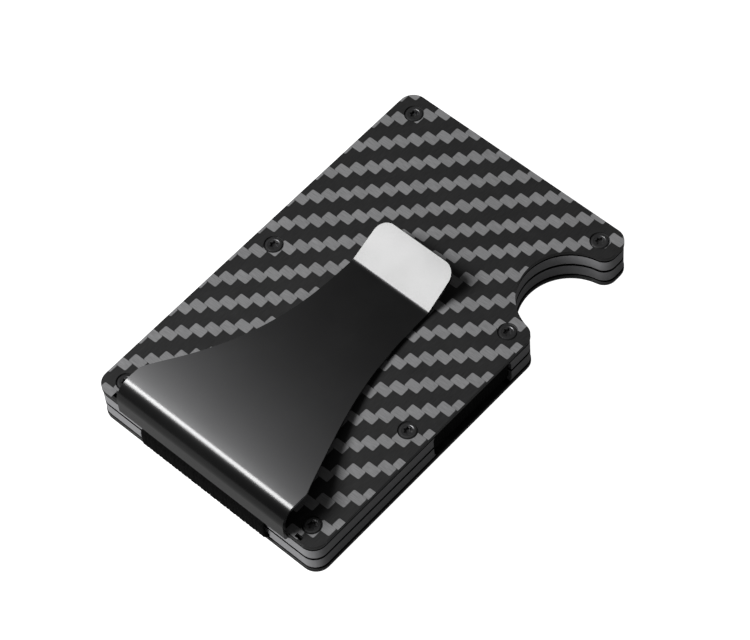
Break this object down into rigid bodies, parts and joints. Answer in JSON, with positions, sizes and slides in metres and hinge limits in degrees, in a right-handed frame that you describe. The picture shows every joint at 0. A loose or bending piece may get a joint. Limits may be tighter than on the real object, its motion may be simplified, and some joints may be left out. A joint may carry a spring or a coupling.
{
  "type": "money clip card wallet",
  "caption": "Slim carbon-fibre card wallet with a thumb notch, elastic bands that let its halves part over cards, and a sprung metal money clip on the top plate.",
  "frame": {"origin": "middle of the lower carbon plate's outer face, which lies on z = 0", "axes": "+Z from the lower plate to the money clip's side, +X along the length from the clip's fold to the open end, thumb notch in the -Y side"},
  "size_m": [0.0868, 0.0538, 0.015],
  "materials": {
    "carbon_twill": "satin 2/2 twill carbon-fibre laminate with light and dark tows about 2 mm wide",
    "anodised_frame": "fine bead-blasted black anodised aluminium",
    "screw_steel": "dark steel with a turned head and a six-lobe socket",
    "coated_spring": "polished spring steel with a dark mirror coating, bright on its edges",
    "elastic_webbing": "black woven ribbed elastic, matt"
  },
  "bodies": {
    "lower_half": {"lower_carbon_plate": "carbon_twill", "lower_frame": "anodised_frame", "lower_screw_1": "screw_steel", "lower_screw_2": "screw_steel", "lower_screw_3": "screw_steel", "lower_screw_4": "screw_steel", "lower_screw_5": "screw_steel", "lower_screw_6": "screw_steel", "lower_screw_7": "screw_steel", "cross_band": "elastic_webbing", "end_band": "elastic_webbing"},
    "upper_half": {"upper_carbon_plate": "carbon_twill", "upper_frame": "anodised_frame", "upper_screw_1": "screw_steel", "upper_screw_2": "screw_steel", "upper_screw_3": "screw_steel", "upper_screw_4": "screw_steel", "upper_screw_5": "screw_steel", "upper_screw_6": "screw_steel", "upper_screw_7": "screw_steel", "clip_base": "coated_spring", "clip_screw_1": "screw_steel", "clip_screw_2": "screw_steel"},
    "clip_arm": {"clip_arm": "coated_spring"}
  },
  "joints": [
    {"name": "card_gap", "type": "slide", "parent": "lower_half", "child": "upper_half", "axis": [0, 0, 1], "range_m": [0, 0.0091], "stiffness_N_per_m": 900, "springref_m": -0.01, "deforming": ["cross_band", "end_band"]},
    {"name": "clip_flex", "type": "hinge", "parent": "upper_half", "child": "clip_arm", "pos_m": [-0.04, 0, 0.01465], "axis": [0, -1, 0], "range_deg": [0, 8], "stiffness_Nm_per_rad": 5, "springref_deg": -1.72}
  ]
}
